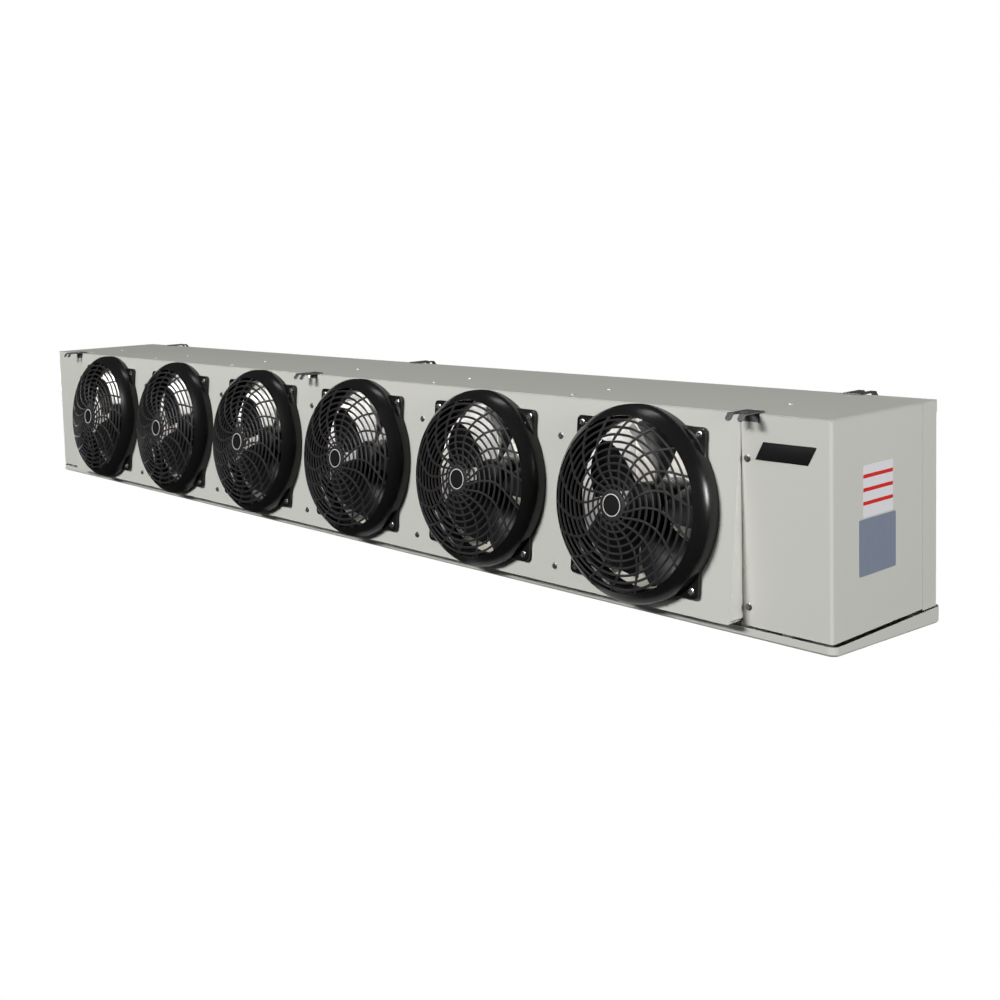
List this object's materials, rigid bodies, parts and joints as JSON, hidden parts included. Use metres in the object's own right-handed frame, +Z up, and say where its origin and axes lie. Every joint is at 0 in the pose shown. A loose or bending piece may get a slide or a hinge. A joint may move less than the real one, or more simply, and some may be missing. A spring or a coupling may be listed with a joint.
{
  "type": "walk-in unit cooler",
  "caption": "Long low-profile ceiling-hung evaporator cooler: tilted front panel with a row of domed black fan guards, finned coil behind, hinged drain pan below.",
  "frame": {"origin": "on the plane of the hanger plates' top faces, in the middle of the cabinet's length and depth", "axes": "+X along the length towards the electrical end, -Y the way the air leaves, +Z up to the ceiling"},
  "size_m": [2.796, 0.4661, 0.3964],
  "materials": {
    "painted_sheet": "satin warm light grey",
    "pan_sheet": "satin painted light grey",
    "galvanised_sheet": "galvanised",
    "coil_fins": "bright fin stock",
    "copper_tube": "bright copper",
    "brass": "machined",
    "fan_wheel": "black moulded",
    "guard_plastic": "glossy black moulded",
    "motor_case": "semi-gloss black",
    "zinc_fasteners": "bright zinc",
    "black_plastic": "black"
  },
  "bodies": {
    "cabinet": {"bay_partitions": "galvanised_sheet", "cabinet_hinge_brackets": "galvanised_sheet", "centre_plate": "galvanised_sheet", "coil_fin_blocks": "coil_fins", "coil_return_bends": "copper_tube", "cover_badge": "black_plastic", "cover_screws": "zinc_fasteners", "distributor": "copper_tube", "expansion_valve": "brass", "fan_guard_1": "guard_plastic", "fan_guard_2": "guard_plastic", "fan_guard_3": "guard_plastic", "fan_guard_4": "guard_plastic", "fan_guard_5": "guard_plastic", "fan_guard_6": "guard_plastic", "fan_motors": "motor_case", "fan_panel": "painted_sheet", "front_hangers": "galvanised_sheet", "guard_screws": "zinc_fasteners", "hub_badges": "black_plastic", "left_end_cover": "painted_sheet", "left_end_plate": "galvanised_sheet", "left_rear_corner": "painted_sheet", "liquid_line": "copper_tube", "motor_brackets": "galvanised_sheet", "panel_screws": "zinc_fasteners", "rear_hangers": "galvanised_sheet", "rear_sill": "galvanised_sheet", "right_end_cover": "painted_sheet", "right_end_plate": "galvanised_sheet", "right_rear_corner": "painted_sheet", "suction_header": "copper_tube", "terminal_box": "galvanised_sheet", "terminal_box_lid": "galvanised_sheet", "terminal_strip": "black_plastic", "top_panel": "painted_sheet", "top_rivets": "zinc_fasteners"},
    "pan": {"drain_pan": "pan_sheet", "drain_fitting": "brass", "pan_hinge_ears": "galvanised_sheet", "pan_clips": "zinc_fasteners"},
    "fan_1": {"fan_wheel_1": "fan_wheel"},
    "fan_2": {"fan_wheel_2": "fan_wheel"},
    "fan_3": {"fan_wheel_3": "fan_wheel"},
    "fan_4": {"fan_wheel_4": "fan_wheel"},
    "fan_5": {"fan_wheel_5": "fan_wheel"},
    "fan_6": {"fan_wheel_6": "fan_wheel"}
  },
  "joints": [
    {"name": "pan_hinge", "type": "hinge", "parent": "cabinet", "child": "pan", "pos_m": [0, 0.18, -0.3695], "axis": [1, 0, 0], "range_deg": [0, 80]},
    {"name": "fan_1_spin", "type": "hinge", "parent": "cabinet", "child": "fan_1", "pos_m": [-1.0218, -0.18273, -0.18062], "axis": [0, -0.9951, 0.0993], "continuous": true},
    {"name": "fan_2_spin", "type": "hinge", "parent": "cabinet", "child": "fan_2", "pos_m": [-0.6154, -0.18273, -0.18062], "axis": [0, -0.9951, 0.0993], "continuous": true},
    {"name": "fan_3_spin", "type": "hinge", "parent": "cabinet", "child": "fan_3", "pos_m": [-0.209, -0.18273, -0.18062], "axis": [0, -0.9951, 0.0993], "continuous": true},
    {"name": "fan_4_spin", "type": "hinge", "parent": "cabinet", "child": "fan_4", "pos_m": [0.1974, -0.18273, -0.18062], "axis": [0, -0.9951, 0.0993], "continuous": true},
    {"name": "fan_5_spin", "type": "hinge", "parent": "cabinet", "child": "fan_5", "pos_m": [0.6038, -0.18273, -0.18062], "axis": [0, -0.9951, 0.0993], "continuous": true},
    {"name": "fan_6_spin", "type": "hinge", "parent": "cabinet", "child": "fan_6", "pos_m": [1.0102, -0.18273, -0.18062], "axis": [0, -0.9951, 0.0993], "continuous": true}
  ]
}
